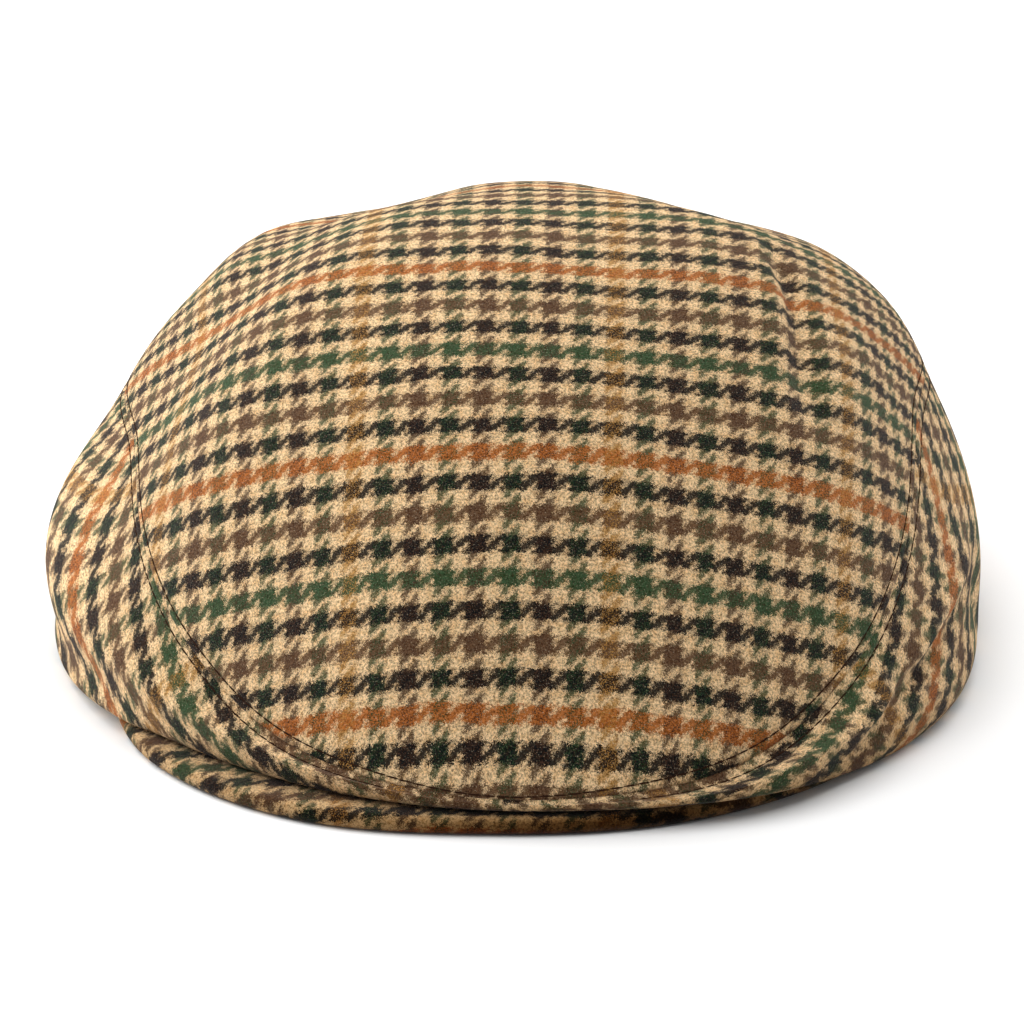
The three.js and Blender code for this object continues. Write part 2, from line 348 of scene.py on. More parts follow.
topPanel = {
    "rings": 92,
    "edgeRings": 14,
    "edgeWidth": 5.0,
    "spokes": 336,
    "poleFade": 0.15,  # shares where the folds are full, and where they fade again
    "edgeFade": 0.85,
    "ripple": 0.7,
    "rippleFade": (2.0, 30.0),  # millimetres from the seam
}
sidePanel = {
    "along": 270,
    "across": 80,
    "crowding": 1.4,  # rows lie closer near the seam
    "lengthSteps": 40,
    "foldFade": (0.02, 0.2),  # shares
    "foldEnd": 0.62,
    "ripple": 0.5,
    "rippleFade": (2.0, 16.0),  # millimetres from the seam
    "rippleEnd": 0.6,
    "creaseFade": (2.0, 9.0),
    "paintedShade": 0.58,  # painted shade: the low front is darkened in the colour
    "paintedShadeHeading": 20.0,
    "paintedShadeSpread": 45.0,
    "paintedShadeFade": (0.3, 0.7),
}
peak = {
    "thickness": 4.0,
    "tipWidth": 5.0,
    "step": 22.0,
    # headings of the two ends, and the reach of the edge at every step from the front
    "left": {"full": 45.0, "crownDown": 78.0, "narrow": 33.0, "tip": 66.0,
             "reach": (113.8, 115.8, 110.5, 99.5)},
    "right": {"full": 24.0, "crownDown": 56.0, "narrow": 20.0, "tip": 44.0,
              "reach": (113.8, 113.6, 108.5, 100.0)},
    "along": 180,
    "across": 48,
    "flatShare": 0.3,  # of the rows, for each face; the others go round the edge
    "paintedShade": 0.3,  # painted shade: the edge is darkened in the colour, most near the middle, for the shade under the crown's fold
    "paintedShadeMiddle": 0.62,
    "paintedShadeHeading": 12.0,
    "paintedShadeSpread": 28.0,
    "paintedShadeTop": 0.6,
    "paintedShadeRound": 0.4,
}

# Where the check falls: a stripe index at a known place on each panel
check = {
    "stripe": 7.1,
    "topWarpStart": 4.9,  # stripe index on the centre line of the top
    "topWeftStart": -0.58,  # stripe index at the front seam
    "frontEase": 0.45,  # the cloth is drawn in a little above the front seam
    "frontEaseReach": 11.0,
    "crownEase": 0.07,  # and a little more with every stripe above this one
    "crownEaseFrom": 10.6,
    "peakWeftPlace": -126.95,  # where a stripe, the orange one, lies on the peak's cloth laid flat
    "peakWeftIndex": 2.0,
    "leftMark": 283.0,  # a heading on the seam of each side, and the stripe index there
    "leftSeamIndex": 7.87,
    "rightMark": 77.0,
    "rightSeamIndex": 8.5,
    "leanFront": 16.5,  # degrees the stripes of the side panels lean to the seam, front and back
    "leanBack": 85.0,
    "leanFrom": 58.0,
    "leftLeanTo": 114.0,
    "rightLeanTo": 124.0,
    "leanDepth": 20.0,  # further down than this the lean swings more slowly
    "slowLeanFrom": 30.0,
    "slowLeanTo": 160.0,
    "leftFrontShift": 1.8,  # stripes that the narrow strip along the front is drawn down
    "rightFrontShift": 1.1,
    "frontShiftSpread": 18.0,
}


def polarSheet(rings, spokes):
    bm = bmesh.new()
    middle = bm.verts.new((0.0, 0.0, 0.0))
    edge = bm.verts.new((0.0, -1.0, 0.0))
    bm.edges.new((middle, edge))
    bmesh.ops.subdivide_edges(bm, edges=bm.edges[:], cuts=rings - 1)
    bmesh.ops.spin(bm, geom=bm.verts[:] + bm.edges[:], cent=(0, 0, 0), axis=(0, 0, 1),
                   angle=2 * math.pi, steps=spokes, use_merge=True)
    bmesh.ops.remove_doubles(bm, verts=bm.verts[:], dist=1e-5)
    return bm


def gridSheet(along, across):
    bm = bmesh.new()
    bmesh.ops.create_grid(bm, x_segments=along, y_segments=across, size=0.5)
    return bm


def flatPlaces(bm):
    return np.array([vertex.co[:2] for vertex in bm.verts])


# Places from 0 to 1 along and across a grid
def unitPlaces(bm):
    places = flatPlaces(bm)
    low, high = places.min(axis=0), places.max(axis=0)
    return (places - low) / (high - low)


# Moves a flat sheet's vertices to their places, with its faces away from a spot inside the cap
def shapeSheet(bm, points):
    for vertex, point in zip(bm.verts, points * mm):
        vertex.co = point
    bmesh.ops.recalc_face_normals(bm, faces=bm.faces[:])
    hub = Vector((*crown["centre"], crown["insideHeight"])) * mm
    facing = sum(face.normal.dot(face.calc_center_median() - hub) for face in bm.faces)
    if facing < 0:
        bmesh.ops.reverse_faces(bm, faces=bm.faces[:])


def makePiece(name, bm, clothPlaces, material, shade=1.0):
    mesh = bpy.data.meshes.new(name)
    bm.to_mesh(mesh)
    bm.free()
    if clothPlaces is not None:
        layer = mesh.uv_layers.new(name="cloth")
        corners = np.empty(len(mesh.loops), dtype=int)
        mesh.loops.foreach_get("vertex_index", corners)
        layer.data.foreach_set("uv", clothPlaces[corners].astype(np.float32).ravel())
        tone = mesh.attributes.new("shade", "FLOAT", "POINT")
        tones = np.broadcast_to(shade, len(mesh.vertices)).astype(np.float32)
        tone.data.foreach_set("value", tones)
    mesh.shade_smooth()
    mesh.materials.append(material)
    piece = bpy.data.objects.new(name, mesh)
    bpy.context.collection.objects.link(piece)
    return piece


def thicken(piece):
    wall = piece.modifiers.new("wall", "SOLIDIFY")
    wall.thickness = cloth["thickness"] * mm
    wall.offset = -1.0
    wall.use_rim = True


# Size of the flat cut, read from the cloth map
def flatCut(piece):
    mesh = piece.data
    places = np.empty(len(mesh.loops) * 2)
    mesh.uv_layers["cloth"].data.foreach_get("uv", places)
    places = places.reshape(-1, 2) * cloth["thread"] * mm
    area = 0.0
    for face in mesh.polygons:
        corner = places[face.loop_start:face.loop_start + face.loop_total]
        after = np.roll(corner, -1, axis=0)
        area += abs(float((corner[:, 0] * after[:, 1] - corner[:, 1] * after[:, 0]).sum())) / 2
    width, length = places.max(axis=0) - places.min(axis=0)
    return (float(width), float(length)), area


# A colour for the shaders from its values out of 255
def linear(red, green, blue):
    values = np.array([red, green, blue]) / 255.0
    values = np.where(values <= 0.04045, values / 12.92, ((values + 0.055) / 1.055) ** 2.4)
    return (*values.tolist(), 1.0)


def plug(tree, socket, value):
    if isinstance(value, bpy.types.NodeSocket):
        tree.links.new(value, socket)
    else:
        socket.default_value = value


def addNode(tree, kind, inputs=None, **settings):
    node = tree.nodes.new(kind)
    for name, value in settings.items():
        setattr(node, name, value)
    for name, value in (inputs or {}).items():
        plug(tree, node.inputs[name], value)
    return node


def calc(tree, operation, *values):
    node = addNode(tree, "ShaderNodeMath", operation=operation)
    for socket, value in zip(node.inputs, values):
        plug(tree, socket, value)
    return node.outputs[0]


def mixColours(tree, factor, first, second, blend="MIX"):
    node = addNode(tree, "ShaderNodeMix", data_type="RGBA", blend_type=blend)
    plug(tree, node.inputs[0], factor)
    plug(tree, node.inputs[6], first)
    plug(tree, node.inputs[7], second)
    return node.outputs[2]


def softStep(tree, value, low, high):
    node = addNode(tree, "ShaderNodeMapRange", interpolation_type="SMOOTHSTEP")
    for socket, item in zip(node.inputs, (value, low, high, 0.0, 1.0)):
        plug(tree, socket, item)
    return node.outputs[0]


def noise(tree, vector, scale, detail, roughness):
    node = addNode(tree, "ShaderNodeTexNoise",
                   {"Vector": vector, "Scale": scale, "Detail": detail, "Roughness": roughness})
    return node.outputs


def split(tree, vector):
    return addNode(tree, "ShaderNodeSeparateXYZ", {"Vector": vector}).outputs


# How far a noise lies from its middle, times an amount
def stray(tree, value, amount):
    return calc(tree, "MULTIPLY", calc(tree, "SUBTRACT", value, 0.5), amount)


tweed = {
    "tan": linear(227, 197, 153),
    "dark": linear(16, 20, 23),
    "brown": linear(68, 48, 37),
    "fawn": linear(100, 75, 55),
    "orange": linear(170, 101, 49),
    "green": linear(46, 68, 44),
    "moss": linear(58, 80, 54),
    "ochre": linear(172, 128, 68),
    "warp": ("ochre", "green", "brown", "green", "brown", "green", "brown", "green"),
    "weft": ("fawn", "dark", "orange", "dark", "fawn", "dark", "moss", "dark"),
    "stripeThreads": 8.0,
    "colouredShare": 0.54,  # of each stripe and its tan ground
    # which set lies on top: the weft's lead over the twill's diagonal, in threads
    "weftLead": 1.46,
    "bothLead": 1.38,  # where both are coloured
    "warpGain": 0.55,  # and so much less where only the warp is
    "warpTan": 0.1,  # tan fibres that lie over the coloured warp there
    "shows": 0.97,  # share of the colour that comes from the thread on top
    "blend": 0.4,
    "blur": 1.6,
    "bothBlur": 5.0,
    "bothFlat": 0.6,
    # noises in thread widths: scale, detail and roughness
    "ragNoise": (1.0, 3.0, 0.65),
    "fuzzNoise": (5.0, 1.0, 0.5),
    "driftNoise": (0.11, 1.0, 0.5),
    "speckNoise": (2.8, 1.0, 0.6),
    "grainNoise": (1.6, 2.0, 0.75),
    "strandNoise": (2.4, 1.0, 0.6),
    "heatherNoise": (0.5, 2.0, 0.6),
    "rag": 3.0,  # how far the edges of the stripes stray, from thread to thread and slowly
    "fuzz": 2.8,
    "drift": 1.8,
    "lift": 1.58,
    "paintedShadePowers": (1.0, 1.2, 1.5),  # painted shade turns browner as it darkens
    # fibre grain: brown lows and cream highs
    "grain": ((0.33, (0.3, 0.25, 0.2, 1.0)), (0.5, (0.7, 0.69, 0.68, 1.0)), (0.67, (0.93, 0.915, 0.89, 1.0))),
    "paleFibre": linear(200, 186, 160),
    "paleRange": (0.6, 0.74),
    "paleAmount": 0.4,
    "deepFibre": linear(64, 44, 30),
    "deepRange": (0.52, 0.68),
    "deepAmount": 0.5,
    "warmTint": (0.84, 0.72, 0.58, 1.0),
    "warmRange": (0.42, 0.68),
    "warmAmount": 0.6,
    "roughness": 0.95,
    "specular": 0.02,
    "sheen": 0.12,
    "sheenRoughness": 0.35,
    "threadRelief": 0.4,
    "napRelief": 1.6,
    "reliefStrength": 0.7,
    "reliefDepth": 0.35,
}
white = (1.0, 1.0, 1.0, 1.0)


# One set of threads: its colour along the repeat of eight stripes, each with its tan ground
def threadColour(tree, place, stripes):
    ramp = addNode(tree, "ShaderNodeValToRGB")
    ramp.color_ramp.interpolation = "CONSTANT"
    stops = ramp.color_ramp.elements
    while len(stops) < 2 * len(stripes):
        stops.new(1.0)
    for index, stop in enumerate(stops):
        stop.position = (index // 2 + index % 2 * tweed["colouredShare"]) / len(stripes)
        stop.color = tweed[stripes[index // 2]] if index % 2 == 0 else tweed["tan"]
    repeat = calc(tree, "FRACT", calc(tree, "DIVIDE", place, tweed["stripeThreads"] * len(stripes)))
    plug(tree, ramp.inputs[0], repeat)
    return ramp.outputs[0]


def coloured(tree, place):
    stripe = calc(tree, "FRACT", calc(tree, "DIVIDE", place, tweed["stripeThreads"]))
    return calc(tree, "LESS_THAN", stripe, tweed["colouredShare"])


def makeTweed():
    material = bpy.data.materials.new("checkTweed")
    material.use_nodes = True
    tree = material.node_tree
    shader = tree.nodes["Principled BSDF"]
    threads = addNode(tree, "ShaderNodeUVMap", uv_map="cloth").outputs[0]
    ragged = split(tree, noise(tree, threads, *tweed["ragNoise"])[1])
    fuzz = split(tree, noise(tree, threads, *tweed["fuzzNoise"])[1])
    drift = split(tree, noise(tree, threads, *tweed["driftNoise"])[1])
    strands = split(tree, noise(tree, threads, *tweed["strandNoise"])[1])
    speck = noise(tree, threads, *tweed["speckNoise"])[0]
    grain = noise(tree, threads, *tweed["grainNoise"])[0]
    heather = noise(tree, threads, *tweed["heatherNoise"])[0]
    place = split(tree, threads)
    moved = []
    for axis in (0, 1):
        near = calc(tree, "ADD", place[axis], stray(tree, ragged[axis], tweed["rag"]))
        slow = stray(tree, drift[axis], tweed["drift"])
        fine = stray(tree, fuzz[axis], tweed["fuzz"])
        moved.append(calc(tree, "ADD", near, calc(tree, "ADD", slow, fine)))
    warp, weft = moved
    warpColour = threadColour(tree, warp, tweed["warp"])
    weftColour = threadColour(tree, weft, tweed["weft"])
    warpOn, weftOn = coloured(tree, warp), coloured(tree, weft)
    both = calc(tree, "MULTIPLY", warpOn, weftOn)
    warpAlone = calc(tree, "SUBTRACT", warpOn, both)
    # 2/2 twill: the diagonal says which set lies on top, blurred to a mix where both are coloured
    halfStep = []
    for value in (warp, weft):
        middle = calc(tree, "ADD", calc(tree, "FLOOR", value), 0.5)
        halfStep.append(calc(tree, "MULTIPLY", calc(tree, "ADD", value, middle), 0.5))
    diagonal = calc(tree, "PINGPONG", calc(tree, "SUBTRACT", *halfStep), 2.0)
    blur = stray(tree, speck, calc(tree, "MULTIPLY_ADD", both, tweed["bothBlur"], tweed["blur"]))
    flatter = calc(tree, "MULTIPLY_ADD", both, -tweed["bothFlat"], 1.0)
    diagonal = calc(tree, "MULTIPLY_ADD", calc(tree, "SUBTRACT", diagonal, 1.0), flatter, 1.0)
    lead = calc(tree, "MULTIPLY_ADD", warpAlone, -tweed["warpGain"], tweed["weftLead"])
    lead = calc(tree, "MULTIPLY_ADD", both, tweed["bothLead"] - tweed["weftLead"], lead)
    over = calc(tree, "SUBTRACT", lead, calc(tree, "ADD", diagonal, blur))
    weftUp = softStep(tree, over, -tweed["blend"], tweed["blend"])
    shown = calc(tree, "MULTIPLY_ADD", weftUp, 2 * tweed["shows"] - 1, 1 - tweed["shows"])
    shown = calc(tree, "MAXIMUM", shown, calc(tree, "MULTIPLY", warpAlone, tweed["warpTan"]))
    colour = mixColours(tree, shown, warpColour, weftColour)
    warm = calc(tree, "MULTIPLY", softStep(tree, heather, *tweed["warmRange"]), tweed["warmAmount"])
    warmth = mixColours(tree, warm, white, tweed["warmTint"])
    colour = mixColours(tree, 1.0, colour, warmth, "MULTIPLY")
    # Single fibres of other colours, carded through every yarn
    pale = calc(tree, "MULTIPLY", softStep(tree, strands[0], *tweed["paleRange"]), tweed["paleAmount"])
    colour = mixColours(tree, pale, colour, tweed["paleFibre"])
    deep = calc(tree, "MULTIPLY", softStep(tree, strands[1], *tweed["deepRange"]), tweed["deepAmount"])
    colour = mixColours(tree, deep, colour, tweed["deepFibre"])
    fibre = addNode(tree, "ShaderNodeValToRGB", {"Fac": grain})
    fibre.color_ramp.elements.new(0.5)
    for stop, (spot, tint) in zip(fibre.color_ramp.elements, tweed["grain"]):
        stop.position = spot
        stop.color = tint
    colour = mixColours(tree, 1.0, colour, fibre.outputs[0], "MULTIPLY")
    # Painted shade from the shade attribute, browner as it deepens; lift brightens every colour
    shade = addNode(tree, "ShaderNodeAttribute", attribute_name="shade").outputs["Fac"]
    tone = addNode(tree, "ShaderNodeCombineColor")
    for socket, power in zip(tone.inputs, tweed["paintedShadePowers"]):
        plug(tree, socket, calc(tree, "MULTIPLY", calc(tree, "POWER", shade, power), tweed["lift"]))
    colour = mixColours(tree, 1.0, colour, tone.outputs[0], "MULTIPLY")
    plug(tree, shader.inputs["Base Color"], colour)
    shader.inputs["Roughness"].default_value = tweed["roughness"]
    shader.inputs["Specular IOR Level"].default_value = tweed["specular"]
    shader.inputs["Sheen Weight"].default_value = tweed["sheen"]
    shader.inputs["Sheen Roughness"].default_value = tweed["sheenRoughness"]
    # Relief: rounded threads, deeper between them, and the nap
    profile = []
    for value in (warp, weft):
        middle = calc(tree, "PINGPONG", value, 0.5)
        profile.append(calc(tree, "SQRT", middle))
    rounded = addNode(tree, "ShaderNodeMix", data_type="FLOAT")
    plug(tree, rounded.inputs[0], weftUp)
    plug(tree, rounded.inputs[2], profile[0])
    plug(tree, rounded.inputs[3], profile[1])
    nap = calc(tree, "MULTIPLY", grain, tweed["napRelief"])
    height = calc(tree, "ADD", calc(tree, "MULTIPLY", rounded.outputs[0], tweed["threadRelief"]), nap)
    bump = addNode(tree, "ShaderNodeBump", {"Strength": tweed["reliefStrength"],
                                            "Distance": tweed["reliefDepth"] * mm, "Height": height})
    plug(tree, shader.inputs["Normal"], bump.outputs[0])
    return material


sewing = {
    "low": linear(30, 18, 12),
    "high": linear(62, 38, 25),
    "twistNoise": (2500.0, 2.0, 0.6),
    "roughness": 0.9,
    "specular": 0.05,
    "reliefStrength": 0.4,
    "reliefDepth": 0.1,
}


def makeThread():
    material = bpy.data.materials.new("stitchThread")
    material.use_nodes = True
    tree = material.node_tree
    shader = tree.nodes["Principled BSDF"]
    place = addNode(tree, "ShaderNodeTexCoord").outputs["Object"]
    twist = noise(tree, place, *sewing["twistNoise"])[0]
    ramp = addNode(tree, "ShaderNodeValToRGB", {"Fac": twist})
    ramp.color_ramp.elements[0].color = sewing["low"]
    ramp.color_ramp.elements[1].color = sewing["high"]
    plug(tree, shader.inputs["Base Color"], ramp.outputs[0])
    shader.inputs["Roughness"].default_value = sewing["roughness"]
    shader.inputs["Specular IOR Level"].default_value = sewing["specular"]
    bump = addNode(tree, "ShaderNodeBump", {"Strength": sewing["reliefStrength"],
                                            "Distance": sewing["reliefDepth"] * mm, "Height": twist})
    plug(tree, shader.inputs["Normal"], bump.outputs[0])
    return material


checkTweed = makeTweed()
stitchThread = makeThread()
print("materials made")


# The top is woven in one piece, so its threads keep their length over the dome. A net of square cells,
# one stripe wide, is laid out from the centre line and from one straight row across it.
net = {
    "baseRow": 8,
    "firstRow": -2,
    "reach": 24,  # columns to each side
    "overrun": 1.1,  # the seam lies at 1; how far past it the centre line runs, and other spots may
    "limit": 1.25,
    "samples": 1201,
    "firstGuess": 0.03,
    "slack": 0.2,
    "repeats": 8,
    "longestStep": 0.05,
    "nudge": 1e-4,
    "least": 1e-9,
    "batches": 60,
    "neighbours": 4,
    "softness": 0.5,
}


def domePoints(flat):
    return smoothTop(np.degrees(np.arctan2(flat[:, 0], -flat[:, 1])), np.hypot(flat[:, 0], flat[:, 1]))


# Moves each spot until both of its misfits vanish
def settle(spots, misfit):
    nudge = net["nudge"]
    for repeat in range(net["repeats"]):
        miss = misfit(spots)
        slopeX = (misfit(spots + np.array([nudge, 0.0])) - miss) / nudge
        slopeY = (misfit(spots + np.array([0.0, nudge])) - miss) / nudge
        scale = slopeX[:, 0] * slopeY[:, 1] - slopeX[:, 1] * slopeY[:, 0]
        scale = np.where(np.abs(scale) < net["least"], net["least"], scale)
        step = np.stack([miss[:, 0] * slopeY[:, 1] - miss[:, 1] * slopeY[:, 0],
                         slopeX[:, 0] * miss[:, 1] - slopeX[:, 1] * miss[:, 0]], axis=1) / scale[:, None]
        size = np.linalg.norm(step, axis=1, keepdims=True)
        spots = spots - step * np.minimum(1.0, net["longestStep"] / np.maximum(size, net["least"]))
    return spots


def offLength(points, start):
    return ((points - start) ** 2).sum(axis=1) / check["stripe"] - check["stripe"]


def layBaseRow(nodes, base):
    middle = net["reach"]
    start, ahead, behind = domePoints(nodes[middle, [base, base + 1, base - 1]])
    forward = (ahead - behind) / np.linalg.norm(ahead - behind)
    for side in (1, -1):
        before = nodes[middle, base]
        guess = before + np.array([side * net["firstGuess"], 0.0])
        for count in range(1, middle + 1):
            origin = domePoints(before[None])

            def misfit(spots):
                points = domePoints(spots)
                return np.stack([offLength(points, origin), (points - start) @ forward], axis=1)

            spot = settle(guess[None], misfit)[0]
            if np.hypot(*spot) > net["limit"]:
                break
            nodes[middle + side * count, base] = spot
            guess, before = 2 * spot - before, spot


# Lays one quarter of the net, a diagonal of cells at a time
def layQuarter(nodes, base, side, way):
    middle = net["reach"]
    rows = nodes.shape[1] - 1 - base if way > 0 else base
    for total in range(2, middle + rows + 1):
        count = np.arange(max(1, total - rows), min(middle, total - 1) + 1)
        column, row = middle + side * count, base + way * (total - count)
        beside, below = nodes[column - side, row], nodes[column, row - way]
        corner = nodes[column - side, row - way]
        known = np.isfinite(beside + below + corner).all(axis=1)
        if not known.any():
            continue
        beside, below, corner = beside[known], below[known], corner[known]
        ends = domePoints(beside), domePoints(below)

        def misfit(spots):
            points = domePoints(spots)
            return np.stack([offLength(points, end) for end in ends], axis=1)

        spots = settle(beside + below - corner, misfit)
        lost = np.hypot(spots[:, 0], spots[:, 1]) > net["limit"]
        lost |= np.abs(misfit(spots)).max(axis=1) > net["slack"]
        spots[lost] = np.nan
        nodes[column[known], row[known]] = spots


def wovenNet():
    along = np.linspace(-net["overrun"], net["overrun"], net["samples"])
    line = domePoints(np.stack([np.zeros_like(along), along], axis=1))
    length = np.concatenate([[0.0], np.cumsum(np.linalg.norm(np.diff(line, axis=0), axis=1))])
    length -= np.interp(-1.0, along, length)
    rows = np.arange(net["firstRow"], int(length[-1] / check["stripe"]) - 1)
    nodes = np.full((2 * net["reach"] + 1, len(rows), 2), np.nan)
    nodes[net["reach"], :, 0] = 0.0
    nodes[net["reach"], :, 1] = np.interp(rows * check["stripe"], length, along)
    base = net["baseRow"] - net["firstRow"]
    layBaseRow(nodes, base)
    for side in (1, -1):
        for way in (1, -1):
            layQuarter(nodes, base, side, way)
    return nodes


# Stripe places of points on the top: across from the centre line, and back from the front seam
def topStripes(points):
    nodes = wovenNet()
    known = np.isfinite(nodes[..., 0])
    spots = np.full(known.shape + (3,), np.nan)
    spots[known] = domePoints(nodes[known])
    across, back = np.full_like(spots, np.nan), np.full_like(spots, np.nan)
    across[1:-1] = (spots[2:] - spots[:-2]) / 2
    back[:, 1:-1] = (spots[:, 2:] - spots[:, :-2]) / 2
    whole = np.isfinite(across + back).all(axis=-1)
    index = np.argwhere(whole) + np.array([-net["reach"], net["firstRow"]])
    spots, across, back = spots[whole], across[whole], back[whole]
    acrossSize, backSize = (across ** 2).sum(axis=1), (back ** 2).sum(axis=1)
    skew = (across * back).sum(axis=1)
    scale = acrossSize * backSize - skew ** 2
    stripes = []
    for few in np.array_split(points, net["batches"]):
        away = ((few[:, None] - spots) ** 2).sum(axis=-1)
        near = np.argpartition(away, net["neighbours"], axis=1)[:, :net["neighbours"]]
        weight = 1.0 / (np.take_along_axis(away, near, axis=1) + net["softness"]) ** 2
        offset = few[:, None] - spots[near]
        onAcross, onBack = (offset * across[near]).sum(axis=-1), (offset * back[near]).sum(axis=-1)
        shift = np.stack([onAcross * backSize[near] - onBack * skew[near],
                          onBack * acrossSize[near] - onAcross * skew[near]], axis=-1)
        shift = shift / scale[near][..., None]
        total = ((index[near] + shift) * weight[..., None]).sum(axis=1)
        stripes.append(total / weight.sum(axis=1, keepdims=True))
    return np.concatenate(stripes)


# Thread places from stripe places: a stripe's index is at the middle of its coloured threads
def threadPlaces(warpStripe, weftStripe):
    middle = tweed["colouredShare"] / 2
    return tweed["stripeThreads"] * np.stack([warpStripe + middle, weftStripe + middle], axis=-1)


def makeTop():
    bm = polarSheet(topPanel["rings"], topPanel["spokes"])
    disc = flatPlaces(bm)
    heading = np.degrees(np.arctan2(disc[:, 0], -disc[:, 1]))
    ring = np.hypot(disc[:, 0], disc[:, 1])
    inner = 1.0 - topPanel["edgeRings"] / topPanel["rings"]
    edge = topPanel["edgeWidth"] / edgeSpan(heading)
    share = np.where(ring < inner, ring / inner * (1.0 - edge), 1.0 - edge * (1.0 - ring) / (1.0 - inner))
    share = np.clip(share, 0.0, 1.0)
    shapeSheet(bm, topSurface(heading, share))
    stripes = topStripes(smoothTop(heading, share))
    ease = check["frontEase"] * np.exp(-(stripes[:, 1] * check["stripe"] / check["frontEaseReach"]) ** 2)
    ease += check["crownEase"] * np.maximum(stripes[:, 1] - check["crownEaseFrom"], 0.0)
    places = threadPlaces(stripes[:, 0] + check["topWarpStart"], stripes[:, 1] + check["topWeftStart"] + ease)
    piece = makePiece("top_panel", bm, places, checkTweed)
    thicken(piece)
    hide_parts("crown_top")
    return piece


seamHeadings = np.linspace(0.0, 360.0, 1441)  # every quarter of a degree
seamLine = placed(seamHeadings, around("seamReach", seamHeadings), seamHeightAt(seamHeadings))
seamSteps = np.linalg.norm(np.diff(seamLine, axis=0), axis=1)
seamLength = np.concatenate([[0.0], np.cumsum(seamSteps)])
onRight = seamHeadings <= 180.0


# The lean of the side cloth along the seam
def leanAlong(fromHeading, toHeading):
    swing = smoothstep(np.abs(turnFrom(seamHeadings, 0.0)), fromHeading, toHeading)
    lean = np.radians(check["leanFront"] + (check["leanBack"] - check["leanFront"]) * swing)
    return np.where(onRight, lean, -lean)


seamLean = leanAlong(check["leanFrom"], np.where(onRight, check["rightLeanTo"], check["leftLeanTo"]))
slowLean = leanAlong(check["slowLeanFrom"], check["slowLeanTo"])
# Run of the seam along and across the threads
seamAlong = np.concatenate([[0.0], np.cumsum(seamSteps * np.cos(seamLean[1:]))])
seamAcross = np.concatenate([[0.0], np.cumsum(seamSteps * np.sin(seamLean[1:]))])
bandSizes = {}  # length along the seam and depth of each side panel's cut


# A value along the seam at each heading
def onSeam(heading, values):
    return np.interp(heading, seamHeadings, values)


def makeSide(name, node, side, start):
    mark, seamIndex, frontShift = (check[side + key] for key in ("Mark", "SeamIndex", "FrontShift"))
    bm = gridSheet(sidePanel["along"], sidePanel["across"])
    unit = unitPlaces(bm)
    heading = start + 180.0 * unit[:, 0]
    share = unit[:, 1] ** sidePanel["crowding"]
    shapeSheet(bm, sideSurface(heading, share))
    down = sideFromSeam(heading, share)
    ends = onSeam([start, start + 180.0], seamLength)
    bandSizes[name] = (float(ends[1] - ends[0]) * mm, float(down.max()) * mm)
    lean, slow = onSeam(heading, seamLean), onSeam(heading, slowLean)
    near = np.minimum(down, check["leanDepth"])
    far = down - near
    along = onSeam(heading, seamAlong) - onSeam(mark, seamAlong)
    across = onSeam(heading, seamAcross) - onSeam(mark, seamAcross)
    drawn = frontShift * np.exp(-(turnFrom(heading, 0.0) / check["frontShiftSpread"]) ** 2)
    along -= near * np.sin(lean) + far * np.sin(slow)
    across += near * np.cos(lean) + far * np.cos(slow)
    places = threadPlaces(along / check["stripe"], seamIndex + drawn + across / check["stripe"])
    # Painted shade: the colour darkens towards the bottom of the panel at the front, standing in for shade
    paintedShadeAround = np.exp(-(turnFrom(heading, sidePanel["paintedShadeHeading"]) / sidePanel["paintedShadeSpread"]) ** 2)
    shade = 1.0 - sidePanel["paintedShade"] * paintedShadeAround * smoothstep(share, *sidePanel["paintedShadeFade"])
    piece = makePiece(name, bm, places, checkTweed, shade)
    thicken(piece)
    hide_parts(node)
    return piece


def peakReach(heading):
    last = len(peak["left"]["reach"]) - 1
    place = np.minimum(np.abs(heading) / peak["step"], last - 0.001)  # just short of the last one
    index = np.floor(place).astype(int)
    ends = []
    for side in ("left", "right"):
        values = np.array(peak[side]["reach"])
        corners = [values[np.minimum(np.abs(index + step), last)] for step in (-1, 0, 1, 2)]
        ends.append(catmullRom(*corners, place - index))
    return np.where(heading < 0, *ends)


